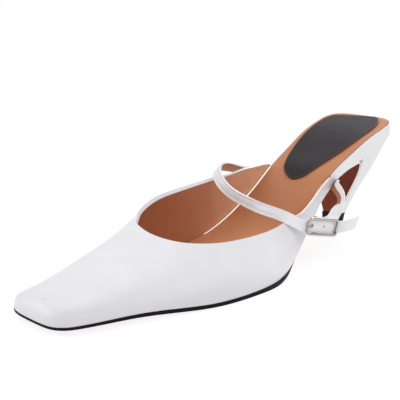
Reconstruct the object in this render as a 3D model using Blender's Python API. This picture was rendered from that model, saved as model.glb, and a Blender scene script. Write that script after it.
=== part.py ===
"""A square-toed mule pump for the left foot, with a strap over the instep and a slanted, covered heel.

Built in metres, +Z up, toe towards -Y, the wearer's outer side towards +X, standing on Z = 0.
The tables give each section in millimetres, with one row for each station along the last.
"""

import math

import bmesh
import bpy
import numpy as np
from mathutils import Matrix, Vector

MM = 0.001

# Driving sizes of the last, in millimetres.
LENGTH = 250.0
BALL_WIDTH = 76.2
HEEL_HEIGHT = 60.0
INSTEP_HEIGHT = 56.0

TOE_ROUND = 14.0
TOE_SQUARENESS = 3.7
TOE_SLANT = 2.2
SEAT_ROUND = 24.0
SEAT_SQUARENESS = 4.3

# Thicknesses and clearances, in millimetres.
GAP = 0.3
WALL = 1.2
UPPER_SET_IN = 0.3
SOCK_THICKNESS = 0.6
LIP_WIDTH = 0.6
RECESS = 0.7
FOOTBED_SET_IN = 2.1
FOOTBED_TOP_SET_IN = 2.4
PAD_THICKNESS = 0.6
STRAP_WIDTH = 5.5
STRAP_THICKNESS = 1.2
TAB_THICKNESS = 0.8
FRAME_BAR = 1.6
CENTRE_BAR_RADIUS = 0.6
PRONG_RADIUS = 0.45

# The sole's outline: distance from the toe tip, then the half width on the outer and inner side.
OUTLINE = (
    # along, outer, inner
    (0.0, 17.0, 21.5),
    (16.0, 22.4, 24.1),
    (42.0, 29.8, 27.5),
    (72.0, 40.2, 33.1),
    (98.0, BALL_WIDTH - 32.9, 32.9),
    (122.0, 40.2, 26.3),
    (142.0, 32.2, 21.4),
    (160.0, 26.5, 19.0),
    (178.0, 23.4, 16.8),
    (196.0, 22.4, 18.4),
    (222.0, 22.4, 21.5),
    (250.0, 20.6, 25.0),
)

# Heights above the floor: the outsole's underside, its seam with the upper, and the footbed's edge.
HEIGHTS = (
    # along, underside, seam, footbed
    (0.0, 2.6, 3.9, 6.7),
    (30.0, 2.3, 3.9, 6.9),
    (76.0, 0.0, 1.9, 4.6),
    (110.0, 0.0, 2.0, 5.1),
    (130.0, 2.0, 3.7, 7.9),
    (148.0, 7.4, 8.6, 15.1),
    (165.0, 18.4, 19.6, 25.9),
    (182.0, 32.0, 33.2, 38.9),
    (200.0, 38.6, 39.8, 46.4),
    (220.0, 43.9, 45.2, 54.0),
    (LENGTH, 53.0, 54.4, HEEL_HEIGHT),
)

# The last above the seam: crest height, crest offset, and how square each side's section is.
SECTIONS = (
    # along, crest height, crest offset, outer squareness, inner squareness
    (0.0, 8.4, -2.8, 3.0, 2.8),
    (10.0, 8.7, -2.8, 3.0, 2.8),
    (18.0, 9.4, -3.0, 2.8, 2.6),
    (30.0, 12.4, -4.4, 2.5, 2.35),
    (42.0, 16.7, -5.8, 2.35, 2.1),
    (54.0, 21.4, -7.2, 2.2, 1.85),
    (67.0, 27.2, -8.0, 2.1, 1.65),
    (80.0, 33.0, -8.0, 2.15, 1.75),
    (100.0, 42.0, -8.0, 2.25, 2.0),
    (122.0, 50.0, -7.5, 2.3, 2.1),
    (142.0, 55.0, -6.5, 2.3, 2.15),
    (160.0, INSTEP_HEIGHT, -5.5, 2.3, 2.2),
    (186.0, 50.0, -4.5, 2.3, 2.3),
)
INNER_FLARE = (
    # along, how far the inner side stands outside the footbed
    (0.0, 0.0),
    (112.0, 0.0),
    (124.0, 0.9),
    (136.0, 1.85),
    (250.0, 1.85),
)
TOE_BOX_ROUND = 6.0
TOE_BOX_SQUARENESS = 2.5
THROAT = 69.7

# The topline: each rib runs up the wall from the seam to the topline. The angle is the place round
# the section, 0 at the outer seam, 90 on the crest, 180 at the inner seam. Hook bends the rib.
OUTER_RIBS = (
    # foot along, top along, top angle, hook
    (60.0, THROAT, 90.0, 5.0),
    (64.0, 67.6, 82.0, 3.0),
    (68.0, 67.4, 72.0, 1.6),
    (72.5, 69.0, 63.0, 1.0),
    (77.5, 72.5, 54.5, 1.0),
    (84.0, 78.0, 47.0, 1.0),
    (92.0, 86.0, 39.7, 1.0),
    (103.0, 99.0, 32.7, 1.0),
    (117.0, 115.0, 27.3, 1.0),
    (132.0, 130.0, 22.6, 1.0),
    (146.0, 145.0, 16.7, 1.0),
    (157.0, 157.0, 10.9, 1.0),
    (169.0, 169.0, 7.0, 1.0),
    (181.5, 181.5, 3.8, 1.0),
)
INNER_RIBS = (
    # foot along, top along, top angle, hook
    (70.0, THROAT, 90.0, 1.0),
    (75.0, 75.0, 102.0, 1.0),
    (81.0, 81.0, 112.5, 1.0),
    (88.0, 88.0, 120.0, 1.0),
    (98.0, 98.0, 126.5, 1.0),
    (110.0, 110.0, 132.5, 1.0),
    (124.0, 124.0, 138.5, 1.0),
    (138.0, 138.0, 144.2, 1.0),
    (151.0, 151.0, 150.6, 1.0),
    (163.0, 163.0, 158.8, 1.0),
    (173.0, 173.0, 167.4, 1.0),
    (183.5, 183.5, 175.4, 1.0),
)
UPPER_OUTER_END = 182.0
CREST_RIBS = 9
TOE_RIBS = 7
UP_THE_WALL = 9
HEEL_POINTS = 10
MIDDLE_STATIONS = (22, 30, 38, 46, 54, 62, 69, 76, 82, 88, 94, 100, 105, 110, 116, 122, 128, 134, 140,
                   146, 152, 158, 164, 170, 176, 188, 194, 200, 206, 212, 218)

# The covered heel, from the tip to the seat: height at the breast, rise per millimetre going back,
# centre, half width, breast and back positions, and the squareness of its rounded back.
HEEL_SECTIONS = (
    # height, rise, centre, half width, breast, back, squareness
    (8.7, 0.0, -0.7, 6.2, 218.9, 228.0, 2.3),
    (13.0, 0.0, -0.3, 6.9, 218.7, 230.9, 2.4),
    (20.0, 0.04, -0.2, 10.1, 218.5, 234.4, 2.5),
    (27.0, 0.08, -0.1, 13.7, 218.1, 239.4, 2.7),
    (33.0, 0.14, 0.0, 17.0, 217.3, 243.4, 2.9),
    (38.0, 0.20, 0.0, 19.4, 216.2, 246.4, 3.2),
)
HEEL_TOP_FRONT = 215.8
HEEL_TOP_SET_IN = 0.4
LIFT_TOP = 8.4
LIFT_SECTIONS = (
    # height, centre, half width, breast, back, squareness
    (0.0, -0.8, 5.8, 217.8, 224.0, 2.3),
    (LIFT_TOP, -0.7, 6.1, 217.5, 227.8, 2.3),
)

# The outsole's flap down the heel breast.
FLAP_THICKNESS = 1.0
FLAP_SET_IN = 0.7
FLAP_LOW = 8.8
FLAP_BEND = (
    # along, height of the visible face where the sole turns down the breast
    (210.6, 40.8),
    (212.4, 40.8),
    (213.9, 40.0),
    (214.7, 38.6),
)
WAIST_SET_IN = (
    # along, set in
    (0.0, 0.0),
    (112.0, 0.0),
    (126.0, 0.5),
    (142.0, 1.7),
    (160.0, 2.0),
    (200.0, 1.6),
    (250.0, 1.2),
)

# The heel pad on the footbed.
PAD = (
    # along, outer edge, inner edge
    (175.9, 3.4, -1.4),
    (177.0, 6.6, 1.8),
    (179.0, 8.9, 4.9),
    (181.5, 10.2, 7.4),
    (184.5, 11.2, 9.1),
    (190.0, 12.7, 11.3),
    (200.0, 15.2, 14.5),
    (212.0, 17.2, 16.9),
    (222.0, 17.6, 18.0),
    (229.0, 17.0, 18.7),
    (235.0, 15.9, 18.9),
    (239.5, 14.2, 18.0),
    (241.5, 13.0, 16.6),
    (243.0, 11.9, 13.0),
    (244.2, 11.2, 6.5),
    (245.3, 10.2, 0.0),
    (246.2, 8.8, -4.6),
    (246.5, 7.6, -6.2),
)

# The straps: a point on the middle of the ribbon and the direction across its width, row by row.
INSTEP_STRAP = (
    # outer, along, height, then the way across: outer, along, up
    (-19.8, 187.0, 34.9, 0.05, 0.42, 0.91),
    (-20.5, 179.3, 36.7, 0.50, 0.07, 0.86),
    (-21.9, 169.1, 38.0, 0.83, -0.06, 0.55),
    (-23.2, 159.7, 40.3, 0.72, 0.14, 0.68),
    (-22.5, 149.5, 43.1, 0.58, 0.26, 0.78),
    (-19.7, 142.1, 43.6, 0.56, 0.25, 0.79),
    (-15.9, 136.7, 42.7, 0.57, 0.29, 0.77),
    (-8.4, 131.5, 39.2, 0.52, 0.18, 0.83),
    (-0.4, 130.4, 35.3, 0.36, 0.03, 0.93),
    (10.1, 129.5, 32.9, 0.11, 0.05, 0.99),
    (23.9, 124.9, 32.6, 0.13, 0.38, 0.92),
    (35.4, 128.6, 29.7, 0.15, 0.36, 0.92),
)
BUCKLE_CENTRE = (42.0, 149.7, 21.7)
BUCKLE_AXIS = (0.39, 0.905, -0.16)
BUCKLE_ACROSS = (0.139, 0.114, 0.984)
BUCKLE_LENGTH = 17.9
BUCKLE_HEIGHT = 9.6
BUCKLE_CORNER = 2.0
CENTRE_BAR_ALONG = -3.2
CENTRE_BAR_BEHIND = 4.4
STRAP_BEHIND = 1.75
STRAP_TAIL = (
    # outer, along, height, then the way across
    (47.4, 162.8, 20.9, 0.10, 0.05, 0.99),
    (49.0, 168.4, 21.6, 0.06, 0.00, 1.00),
)
TAIL_SLANT = 3.0
BUCKLE_STRAP = (
    # outer, along, height, then the way across, from the anchor to the buckle
    (22.5, 188.6, 33.4, 0.00, 0.90, 0.44),
    (25.3, 182.5, 34.5, 0.44, 0.28, 0.85),
    (32.1, 178.7, 31.5, 0.60, 0.07, 0.79),
    (34.4, 175.9, 29.0, 0.80, -0.06, 0.59),
    (35.9, 171.2, 26.1, 0.97, 0.24, 0.00),
    (37.1, 166.3, 23.9, 0.85, 0.36, -0.38),
    (38.0, 163.2, 22.9, 0.92, 0.26, -0.28),
    (38.4, 160.0, 22.3, 0.72, 0.06, -0.69),
)
PRONG_HOLE_ALONG = -5.6
PRONG_HOLE_RADIUS = 1.0
SLOT_WIDTH = 1.6
SPARE_HOLE_RADIUS = 0.7
HOLE_SPACING = 6.8


def natural_spline(xs, ys):
    """A smooth curve through the points, straight at its ends."""
    xs = np.asarray(xs, float)
    ys = np.asarray(ys, float)
    count = len(xs)
    step = np.diff(xs)
    rise = np.diff(ys) / step
    system = np.eye(count)
    right = np.zeros(count)
    for i in range(1, count - 1):
        system[i, i - 1 : i + 2] = step[i - 1], 2 * (step[i - 1] + step[i]), step[i]
        right[i] = 6 * (rise[i] - rise[i - 1])
    bend = np.linalg.solve(system, right)

    def value(x):
        i = np.clip(np.searchsorted(xs, x) - 1, 0, count - 2)
        a = (xs[i + 1] - x) / step[i]
        b = 1 - a
        curve = (a**3 - a) * bend[i] + (b**3 - b) * bend[i + 1]
        return a * ys[i] + b * ys[i + 1] + curve * step[i] ** 2 / 6

    return value


def steady_curve(xs, ys):
    """A smooth curve that never overshoots, so that level stretches stay level."""
    xs = np.asarray(xs, float)
    ys = np.asarray(ys, float)
    step = np.diff(xs)
    rise = np.diff(ys) / step
    slope = np.zeros(len(xs))
    slope[0], slope[-1] = rise[0], rise[-1]
    for i in range(1, len(xs) - 1):
        if rise[i - 1] * rise[i] > 0:
            before = 2 * step[i] + step[i - 1]
            after = step[i] + 2 * step[i - 1]
            slope[i] = (before + after) / (before / rise[i - 1] + after / rise[i])

    def value(x):
        i = np.clip(np.searchsorted(xs, x) - 1, 0, len(step) - 1)
        u = (x - xs[i]) / step[i]
        ends = (1 + 2 * u) * (1 - u) ** 2 * ys[i] + u * u * (3 - 2 * u) * ys[i + 1]
        lean = u * (1 - u) ** 2 * slope[i] + u * u * (u - 1) * slope[i + 1]
        return ends + lean * step[i]

    return value


def column(table, index, kind=steady_curve):
    return kind([row[0] for row in table], [row[index] for row in table])


outer_width = column(OUTLINE, 1, natural_spline)
inner_width = column(OUTLINE, 2, natural_spline)
underside = column(HEIGHTS, 1)
seam = column(HEIGHTS, 2)
footbed_edge = column(HEIGHTS, 3)
crest_height = column(SECTIONS, 1)
crest_offset = column(SECTIONS, 2)
outer_square = column(SECTIONS, 3)
inner_square = column(SECTIONS, 4)
waist_set_in = column(WAIST_SET_IN, 1)
inner_flare = column(INNER_FLARE, 1)


def rounding(share, squareness):
    """How far a rounded end has opened, from 0 at its tip to 1 where it is full width."""
    share = min(max(share, 0.0), 1.0)
    return (1 - (1 - share) ** squareness) ** (1 / squareness)


def half_widths(along, set_in):
    """The outline's half width on the outer and the inner side, drawn in by set_in all round."""
    toe = rounding((along - set_in) / TOE_ROUND, TOE_SQUARENESS)
    seat = rounding((LENGTH - set_in - along) / SEAT_ROUND, SEAT_SQUARENESS)
    opened = toe * seat
    return (outer_width(along) - set_in) * opened, (inner_width(along) - set_in) * opened


def place(across, along, height):
    """A point of the shoe: across is out from the middle line, along is back from the toe tip."""
    slant = TOE_SLANT * (across / 18.0) * math.exp(-along / 15.0)
    return Vector((across, along - LENGTH / 2 - slant, height)) * MM


def last_surface(along, degrees):
    """A point on the upper's outer face, at an angle round the section at this station."""
    toe = rounding(along / TOE_ROUND, TOE_SQUARENESS)
    front = rounding(along / TOE_BOX_ROUND, TOE_BOX_SQUARENESS)
    outer, inner = half_widths(along, 0.0)
    middle = crest_offset(along) * toe
    angle = math.radians(degrees)
    on_outer = degrees <= 90
    reach = outer - middle if on_outer else inner + inner_flare(along) + middle
    reach -= UPPER_SET_IN * toe
    power = 2 / (outer_square(along) if on_outer else inner_square(along))
    sideways = math.copysign(abs(math.cos(angle)) ** power, math.cos(angle)) if degrees != 90 else 0.0
    up = abs(math.sin(angle)) ** power if degrees != 180 else 0.0
    return place(middle + reach * sideways, along, seam(along) + crest_height(along) * front * up)


def toe_stations(count, length, squareness, start=0.0):
    """Stations that crowd towards a rounded end."""
    turns = [math.pi / 2 * i / count for i in range(count + 1)]
    return [start + length * (1 - math.cos(turn) ** (2 / squareness)) for turn in turns]


def material(name, colour, roughness, metallic=0.0):
    made = bpy.data.materials.new(name)
    made.use_nodes = True
    shader = made.node_tree.nodes["Principled BSDF"]
    shader.inputs["Base Color"].default_value = (*colour, 1.0)
    shader.inputs["Roughness"].default_value = roughness
    shader.inputs["Metallic"].default_value = metallic
    return made


def finish(name, mesh_data, finish_material, sharp=40.0):
    """Turns a bmesh into a named object with its material, smooth but for its sharp edges."""
    bmesh.ops.remove_doubles(mesh_data, verts=mesh_data.verts, dist=1e-6)
    bmesh.ops.dissolve_degenerate(mesh_data, dist=1e-6, edges=mesh_data.edges)
    bmesh.ops.recalc_face_normals(mesh_data, faces=mesh_data.faces)
    mesh = bpy.data.meshes.new(name)
    mesh_data.to_mesh(mesh)
    mesh_data.free()
    mesh.shade_smooth()
    mesh.set_sharp_from_angle(angle=math.radians(sharp))
    mesh.materials.append(finish_material)
    made = bpy.data.objects.new(name, mesh)
    bpy.context.scene.collection.objects.link(made)
    return made


def loft(loops):
    """A closed body through loops of the same number of points. A loop may shrink to a short edge."""
    body = bmesh.new()
    rings = [[body.verts.new(point) for point in loop] for loop in loops]
    count = len(rings[0])
    for ring, following in zip(rings, rings[1:]):
        for i in range(count):
            j = (i + 1) % count
            body.faces.new((ring[i], ring[j], following[j], following[i]))
    for ring in (rings[0], rings[-1]):
        corners = {tuple(round(value, 7) for value in vertex.co) for vertex in ring}
        if len(corners) > 2:
            body.faces.new(ring)
    return body


def make_upper(leather):
    """The vamp and quarters: one hollow wall, open at the throat, at the back and underneath."""
    crest = toe_stations(TOE_RIBS, TOE_ROUND, TOE_SQUARENESS)
    crest += list(np.linspace(TOE_ROUND, THROAT, CREST_RIBS + 1)[1:-1])
    body = bmesh.new()
    for ribs, foot_angle in ((OUTER_RIBS, 0.0), (INNER_RIBS, 180.0)):
        first = ribs[0]
        front = []
        for station in crest:
            near = max(0.0, (station - 40.0) / (THROAT - 40.0))
            foot = station - (THROAT - first[0]) * near**2
            front.append((foot, station, 90.0, 1.0 + (first[3] - 1.0) * near))
        steps = np.arange(0, len(ribs) - 0.5, 0.5)
        index = range(len(ribs))
        curves = [natural_spline(index, [row[i] for row in ribs]) for i in range(4)]
        rear = [tuple(float(curve(step)) for curve in curves) for step in steps]
        grid = []
        for foot, top, top_angle, hook in front + rear:
            line = []
            for i in range(UP_THE_WALL + 1):
                share = i / UP_THE_WALL
                along = foot + (top - foot) * share ** max(hook, 1.0)
                line.append(last_surface(along, foot_angle + (top_angle - foot_angle) * share))
            grid.append([body.verts.new(point) for point in line])
        for line, following in zip(grid, grid[1:]):
            for i in range(UP_THE_WALL):
                body.faces.new((line[i], line[i + 1], following[i + 1], following[i]))
    bmesh.ops.remove_doubles(body, verts=body.verts, dist=1e-6)
    bmesh.ops.dissolve_degenerate(body, dist=1e-6, edges=body.edges)
    bmesh.ops.recalc_face_normals(body, faces=body.faces)
    if sum(face.normal.z * face.calc_area() for face in body.faces) < 0:
        bmesh.ops.reverse_faces(body, faces=body.faces)
    body.normal_update()
    outer_faces = list(body.faces)
    inside = {}
    for vertex in list(body.verts):
        along = (vertex.co.y / MM) + LENGTH / 2
        on_seam = vertex.co.z / MM < seam(min(max(along, 0.0), LENGTH)) + 0.05
        inward = vertex.normal.copy()
        if on_seam:
            inward.z = 0.0
            inward.normalize()
        inside[vertex] = body.verts.new(vertex.co - inward * WALL * MM)
    edges = [edge for edge in body.edges if len(edge.link_faces) == 1]
    for edge in edges:
        face = edge.link_faces[0]
        start, end = edge.verts
        corners = list(face.verts)
        if corners[(corners.index(start) + 1) % len(corners)] == end:
            start, end = end, start
        body.faces.new((start, end, inside[end], inside[start]))
    for face in outer_faces:
        body.faces.new([inside[vertex] for vertex in reversed(face.verts)])
    return finish("upper", body, leather)


def heel_loop(height, rise, centre, half_width, breast, back, squareness):
    """A D-shaped section of the heel: straight across the breast and rounded at the back."""
    loop = []
    for side in (1, -1):
        points = []
        for i in range(HEEL_POINTS + 1):
            share = math.sin(math.pi / 2 * i / HEEL_POINTS) ** (2 / 3)
            along = breast + (back - breast) * share
            across = centre + side * half_width * max(0.0, 1 - share**squareness) ** (1 / squareness)
            points.append(place(across, along, height + rise * (along - breast)))
        loop += points if side == 1 else points[-2::-1]
    return loop


def seat_loop(front, set_in):
    """The seat's outline under the footbed, from its front edge round the back."""
    loop = []
    for side in (0, 1):
        points = []
        for i in range(HEEL_POINTS + 1):
            share = math.sin(math.pi / 2 * i / HEEL_POINTS) ** (2 / 3)
            along = front + (LENGTH - set_in - front) * share
            width = half_widths(along, set_in)[side]
            across = width if side == 0 else -width
            points.append(place(across, along, seam(along) - GAP))
        loop += points if side == 0 else points[-2::-1]
    return loop


def make_heel(leather):
    loops = [heel_loop(*row) for row in HEEL_SECTIONS]
    loops.append(seat_loop(HEEL_TOP_FRONT, HEEL_TOP_SET_IN))
    return finish("heel", loft(loops), leather)


def make_top_lift(rubber):
    rows = [(row[0], 0.0) + row[1:] for row in LIFT_SECTIONS]
    return finish("top_lift", loft([heel_loop(*row) for row in rows]), rubber)


def outline_stations(start, end, extra=()):
    """Stations for a plate's edge: crowded round the toe, even along the middle, crowded round the seat."""
    front = toe_stations(TOE_RIBS, TOE_ROUND, TOE_SQUARENESS, start)
    behind = toe_stations(TOE_RIBS, SEAT_ROUND, SEAT_SQUARENESS, LENGTH - end)
    back = [LENGTH - set_back for set_back in behind]
    middle = list(MIDDLE_STATIONS) + list(extra)
    middle = [station for station in middle if front[-1] + 2 < station < back[-1] - 2]
    return sorted(front + middle + back)


def plate(name, loops, finish_material):
    """A closed plate. Each loop is a list of point pairs, outer side and inner side, toe to heel."""
    body = bmesh.new()
    rings = [[(body.verts.new(a), body.verts.new(b)) for a, b in loop] for loop in loops]
    count = len(rings[0])
    for ring, following in zip(rings, rings[1:]):
        for i in range(count - 1):
            for side in (0, 1):
                body.faces.new((ring[i][side], ring[i + 1][side], following[i + 1][side], following[i][side]))
        for i in (0, count - 1):
            body.faces.new((ring[i][0], ring[i][1], following[i][1], following[i][0]))
    for ring in (rings[0], rings[-1]):
        for i in range(count - 1):
            body.faces.new((ring[i][0], ring[i][1], ring[i + 1][1], ring[i + 1][0]))
    return finish(name, body, finish_material)


def edge_loop(stations, set_in, height):
    """Point pairs on the outline. The set-in is a function of the station and the side."""
    loop = []
    for along in stations:
        outer = half_widths(along, set_in(along, 0))[0]
        inner = half_widths(along, set_in(along, 1))[1]
        loop.append((place(outer, along, height(along)), place(-inner, along, height(along))))
    return loop


def make_outsole(sole_leather):
    """The thin outsole, from the toe to the heel breast, and its flap down the breast."""
    waist = outline_stations(0.0, LENGTH)
    waist = [station for station in waist if station < FLAP_BEND[0][0] - 2]
    heights = [row[0] for row in HEEL_SECTIONS]
    breast = steady_curve(heights, [row[4] for row in HEEL_SECTIONS])
    centre = steady_curve(heights, [row[2] for row in HEEL_SECTIONS])
    half = steady_curve(heights, [row[3] for row in HEEL_SECTIONS])
    loops = []
    for along in waist:
        outer, inner = half_widths(along, 0.0)
        narrower = waist_set_in(along) if along > TOE_ROUND else 0.0
        low, high = underside(along), seam(along) - GAP
        outer, inner = outer - narrower, inner - narrower
        loops.append([(outer, along, low), (outer, along, high), (-inner, along, high), (-inner, along, low)])
    down = [36.5, 33.0, 29.0, 24.0, 18.0, 13.0, FLAP_LOW]
    path = list(FLAP_BEND) + [(breast(height) - 1.5 * GAP - FLAP_THICKNESS, height) for height in down]
    last_outer, last_inner = loops[-1][0][0], -loops[-1][3][0]
    previous = (waist[-1], underside(waist[-1]))
    for i, (along, height) in enumerate(path):
        following = path[min(i + 1, len(path) - 1)]
        direction = Vector((following[0] - previous[0], following[1] - previous[1])).normalized()
        back_along = along - direction.y * FLAP_THICKNESS
        back_height = height + direction.x * FLAP_THICKNESS
        share = min(1.0, (i + 1) / len(FLAP_BEND))
        at = min(height, HEEL_SECTIONS[-1][0])
        outer = last_outer * (1 - share) + (half(at) + centre(at) - FLAP_SET_IN) * share
        inner = last_inner * (1 - share) + (half(at) - centre(at) - FLAP_SET_IN) * share
        loops.append(
            [
                (outer, along, height),
                (outer, back_along, back_height),
                (-inner, back_along, back_height),
                (-inner, along, height),
            ]
        )
        previous = (along, height)
    return finish("outsole", loft([[place(*point) for point in loop] for loop in loops]), sole_leather)


def tucked(along, side, later=0.0):
    """How far the footbed's top edge is drawn in to clear the upper's wall."""
    if side == 0:
        return FOOTBED_TOP_SET_IN if along < UPPER_OUTER_END + later else 0.0
    return FOOTBED_TOP_SET_IN * (1 - inner_flare(along) / INNER_FLARE[-1][1])


def make_footbed(leather):
    """The board under the foot, wrapped in leather, with a low lip round the recess for the lining."""
    steps = [UPPER_OUTER_END + shift for shift in (-0.05, 0.05)]
    loops = []
    for share, lip, height in (
        (FOOTBED_SET_IN / FOOTBED_TOP_SET_IN, 0.0, lambda along: seam(along)),
        (1.0, 0.0, lambda along: footbed_edge(along)),
        (1.0, LIP_WIDTH, lambda along: footbed_edge(along)),
        (1.0, LIP_WIDTH, lambda along: footbed_edge(along) - RECESS),
    ):

        def inset(along, side, share=share, lip=lip):
            return tucked(along, side) * share + lip

        stations = outline_stations(FOOTBED_TOP_SET_IN * share + lip, LENGTH - lip, steps)
        loops.append(edge_loop(stations, inset, height))
    return plate("footbed", loops, leather)


def make_insole(leather):
    """The leather lining in the footbed's recess."""
    later = 0.45
    steps = [UPPER_OUTER_END + later + shift for shift in (-0.05, 0.05)]

    def inset(along, side):
        return tucked(along, side, later) + LIP_WIDTH + GAP

    stations = outline_stations(FOOTBED_TOP_SET_IN + LIP_WIDTH + GAP, LENGTH - LIP_WIDTH - GAP, steps)
    base = GAP - RECESS + 0.02
    low = edge_loop(stations, inset, lambda along: footbed_edge(along) + base)
    high = edge_loop(stations, inset, lambda along: footbed_edge(along) + base + SOCK_THICKNESS)
    return plate("insole", [low, high], leather)


def make_heel_pad(pad_leather):
    outer = column(PAD, 1)
    inner = column(PAD, 2)
    base = GAP + SOCK_THICKNESS + GAP - RECESS + 0.15
    stations = [row[0] for row in PAD]
    loops = []
    for rise in (base, base + PAD_THICKNESS):
        loop = []
        for along in stations:
            height = footbed_edge(along) + rise
            loop.append((place(outer(along), along, height), place(-inner(along), along, height)))
        loops.append(loop)
    return plate("heel_pad", loops, pad_leather)


def ribbon_frames(rows, per_row):
    """Centres along a ribbon, with the directions across its width, out of its face and onward."""
    points = np.array([row[:3] for row in rows], float)
    run = np.concatenate([[0.0], np.cumsum(np.linalg.norm(np.diff(points, axis=0), axis=1))])
    curves = [natural_spline(run, [row[i] for row in rows]) for i in range(6)]
    steps = [run[0]]
    for start, end in zip(run, run[1:]):
        steps += list(np.linspace(start, end, per_row + 1)[1:])
    centres = [place(*(float(curve(step)) for curve in curves[:3])) for step in steps]
    frames = []
    for i, (centre, step) in enumerate(zip(centres, steps)):
        tangent = (centres[min(i + 1, len(centres) - 1)] - centres[max(i - 1, 0)]).normalized()
        across = Vector([float(curve(step)) for curve in curves[3:]])
        up = (across - across.dot(tangent) * tangent).normalized()
        frames.append((centre, up, tangent.cross(up), tangent))
    return frames


def ribbon(name, rows, thickness, finish_material, per_row=3, slant=0.0, slot_from=None):
    """A closed strap that follows the rows. From row slot_from on, a slot runs up its middle."""
    frames = ribbon_frames(rows, per_row)
    edges = [-STRAP_WIDTH / 2, STRAP_WIDTH / 2]
    if slot_from is not None:
        edges[1:1] = [-SLOT_WIDTH / 2, SLOT_WIDTH / 2]
    body = bmesh.new()
    faces = []
    for side in (1, -1):
        grid = []
        for i, (centre, up, out, tangent) in enumerate(frames):
            lean = slant / STRAP_WIDTH * MM * tangent if i == len(frames) - 1 else Vector()
            half = side * out * thickness / 2 * MM
            grid.append([body.verts.new(centre + up * edge * MM + lean * edge + half) for edge in edges])
        faces.append(grid)
    front, rear = faces
    columns = len(edges) - 1

    def kept(i, j):
        inside = 0 <= i < len(frames) - 1 and 0 <= j < columns
        return inside and not (slot_from is not None and j == 1 and i >= slot_from * per_row)

    for i in range(len(frames) - 1):
        for j in range(columns):
            if not kept(i, j):
                continue
            body.faces.new((front[i][j], front[i + 1][j], front[i + 1][j + 1], front[i][j + 1]))
            body.faces.new((rear[i][j], rear[i][j + 1], rear[i + 1][j + 1], rear[i + 1][j]))
            sides = (
                (i - 1, j, (i, j), (i, j + 1)),
                (i + 1, j, (i + 1, j + 1), (i + 1, j)),
                (i, j - 1, (i + 1, j), (i, j)),
                (i, j + 1, (i, j + 1), (i + 1, j + 1)),
            )
            for near_i, near_j, (a, b), (c, d) in sides:
                if not kept(near_i, near_j):
                    body.faces.new((front[a][b], front[c][d], rear[c][d], rear[a][b]))
    return finish(name, body, finish_material)


def buckle_frame_of_reference():
    """The buckle's centre and its axes: along the strap, across it, and outward."""
    along = Vector(BUCKLE_AXIS).normalized()
    across = Vector(BUCKLE_ACROSS)
    across = (across - across.dot(along) * along).normalized()
    return place(*BUCKLE_CENTRE), along, across, along.cross(across)


def at_buckle(along, across, outward):
    centre, along_axis, across_axis, out_axis = buckle_frame_of_reference()
    return centre + (along_axis * along + across_axis * across + out_axis * outward) * MM


def buckle_row(along, outward, turned=1):
    """A strap row at the buckle, in the same columns as the strap tables."""
    point = at_buckle(along, 0.0, outward) / MM
    across = buckle_frame_of_reference()[2] * turned
    return (point.x, point.y + LENGTH / 2, point.z, *across)


def tube(points, radius, sides=8, closed=False):
    """A round bar along a path of points, in metres. The radius is in millimetres."""
    loops = []
    count = len(points)
    reference = None
    for i, point in enumerate(points):
        before = points[(i - 1) % count] if closed else points[max(i - 1, 0)]
        after = points[(i + 1) % count] if closed else points[min(i + 1, count - 1)]
        tangent = (after - before).normalized()
        if reference is None:
            reference = tangent.orthogonal().normalized()
        reference = (reference - reference.dot(tangent) * tangent).normalized()
        other = tangent.cross(reference)
        turns = [2 * math.pi * (k + 0.5) / sides for k in range(sides)]
        loops.append([point + (reference * math.cos(t) + other * math.sin(t)) * radius * MM for t in turns])
    if not closed:
        return loft(loops)
    body = bmesh.new()
    rings = [[body.verts.new(corner) for corner in loop] for loop in loops]
    for i in range(count):
        ring, following = rings[i], rings[(i + 1) % count]
        for k in range(sides):
            m = (k + 1) % sides
            body.faces.new((ring[k], ring[m], following[m], following[k]))
    return body


def cut(target, cutter):
    modifier = target.modifiers.new("cut_" + cutter.name, "BOOLEAN")
    modifier.operation = "DIFFERENCE"
    modifier.solver = "EXACT"
    modifier.object = cutter
    cutter.hide_render = True
    cutter.display_type = "WIRE"


def make_instep_strap(leather):
    passing = [buckle_row(along, -STRAP_BEHIND) for along in (-9.5, -6.0, -2.0, 2.0, 6.0, 9.5)]
    rows = list(INSTEP_STRAP) + passing + list(STRAP_TAIL)
    strap = ribbon("instep_strap", rows, STRAP_THICKNESS, leather, slant=TAIL_SLANT)
    for name, along, radius in (
        ("prong_hole_cutter", PRONG_HOLE_ALONG, PRONG_HOLE_RADIUS),
        ("spare_hole_cutter", PRONG_HOLE_ALONG + HOLE_SPACING, SPARE_HOLE_RADIUS),
    ):
        start = at_buckle(along, 0.0, -STRAP_BEHIND - 2)
        end = at_buckle(along, 0.0, -STRAP_BEHIND + 2)
        cut(strap, finish(name, tube([start, end], radius, 12), leather))
    return strap


def make_buckle_strap(leather):
    """The short strap: sewn under the waist, its end folded round the buckle's centre bar."""
    radius = CENTRE_BAR_RADIUS + GAP + TAB_THICKNESS / 2
    rows = list(BUCKLE_STRAP)
    rows.append(buckle_row(CENTRE_BAR_ALONG + 2.6, -CENTRE_BAR_BEHIND - radius, turned=-1))
    slot_from = len(rows) - 1
    for degrees in (-90, -135, -180, -225, -270):
        turn = math.radians(degrees)
        along = CENTRE_BAR_ALONG + radius * math.cos(turn)
        rows.append(buckle_row(along, -CENTRE_BAR_BEHIND + radius * math.sin(turn), turned=-1))
    return ribbon("buckle_strap", rows, TAB_THICKNESS, leather, 2, slot_from=slot_from)


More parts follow.
